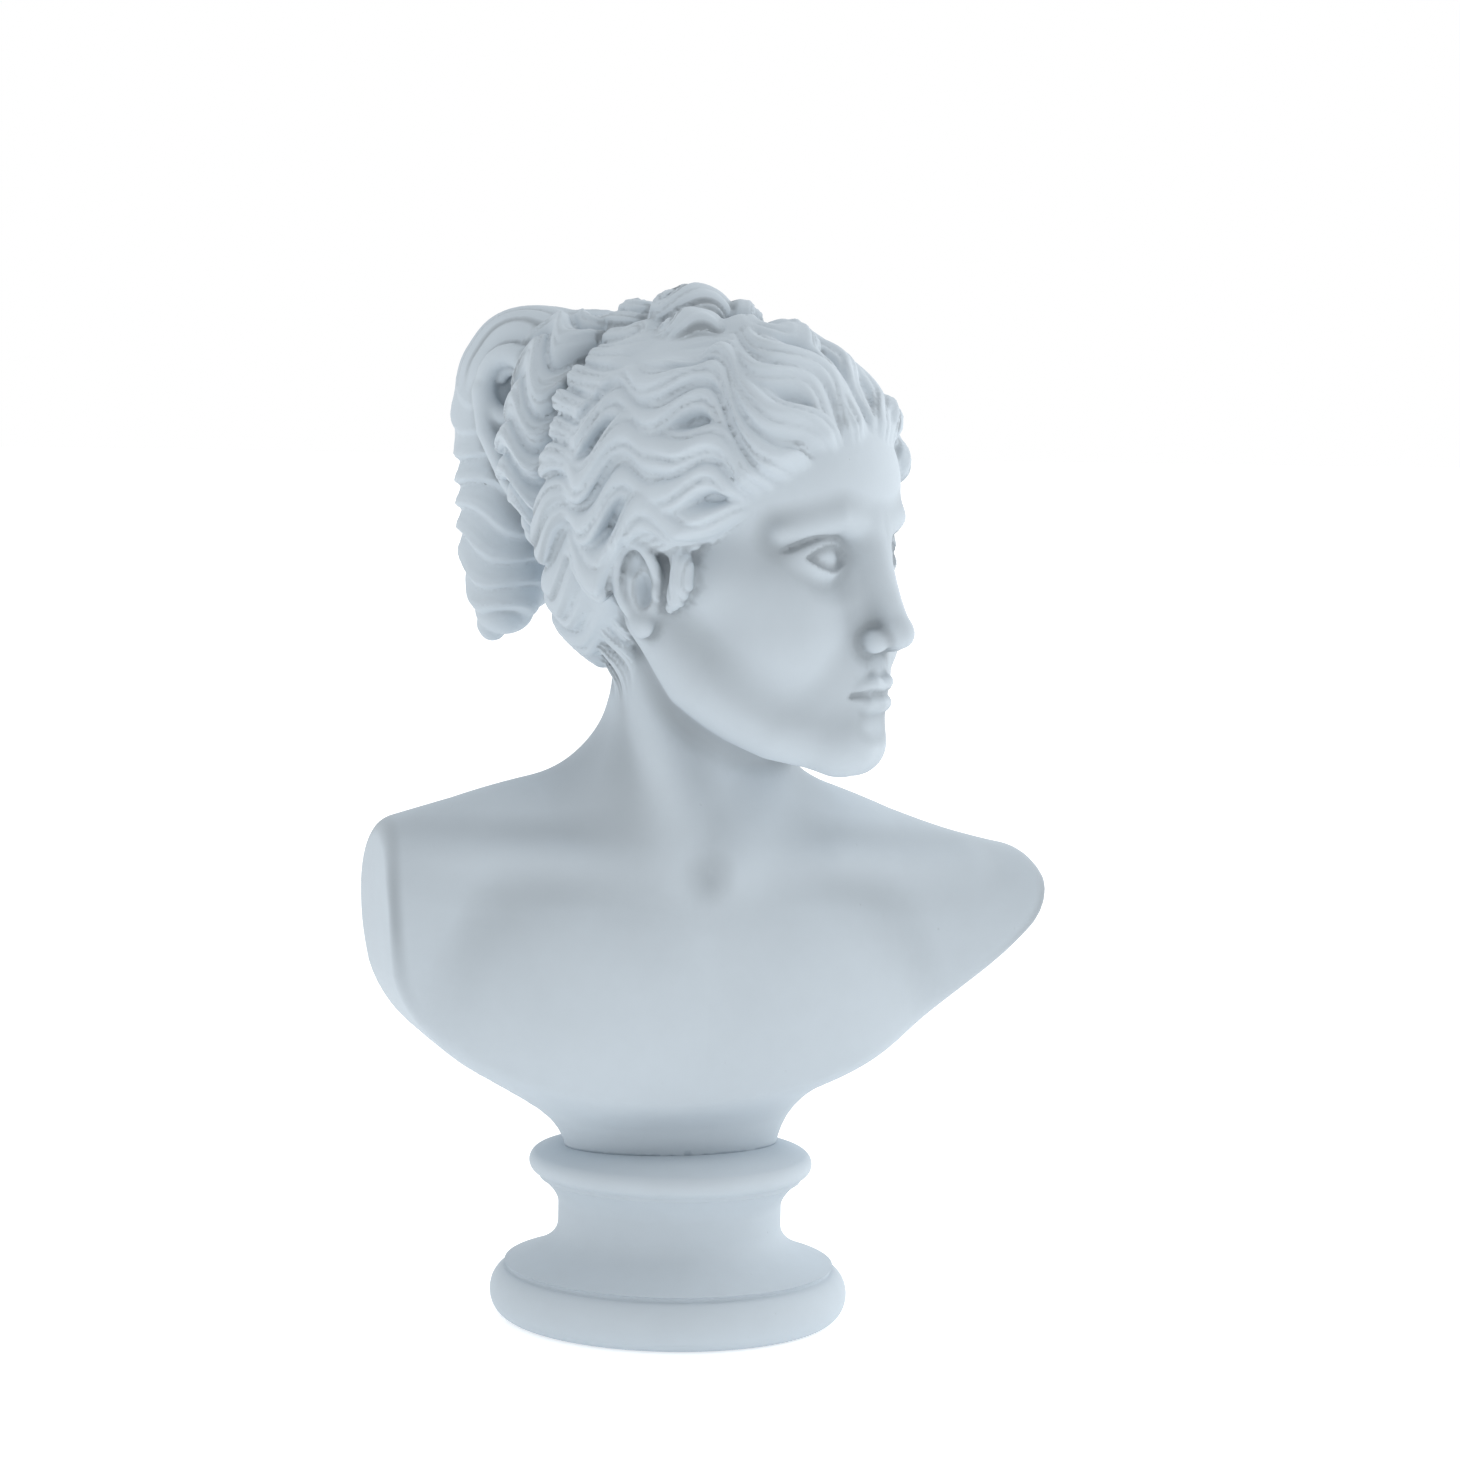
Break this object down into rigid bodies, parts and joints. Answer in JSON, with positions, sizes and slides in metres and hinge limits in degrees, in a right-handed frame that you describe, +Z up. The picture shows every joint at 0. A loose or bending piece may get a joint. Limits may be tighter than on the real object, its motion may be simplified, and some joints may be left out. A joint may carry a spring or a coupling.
{
  "type": "bust",
  "caption": "Plaster bust of a classical woman, head turned to her left, wavy hair drawn back into a roll and a hanging knot, on a turned round socle.",
  "frame": {"origin": "centre of the socle's flat underside, on the ground", "axes": "+Z up, -Y the way the chest faces, +X to the figure's left"},
  "size_m": [0.2161, 0.1348, 0.326],
  "materials": {
    "bust_plaster": "matt unglazed cast plaster, pale blue grey",
    "socle_plaster": "matt unglazed cast plaster, pale blue grey"
  },
  "bodies": {
    "root": {"bust": "bust_plaster", "socle": "socle_plaster"}
  },
  "joints": []
}
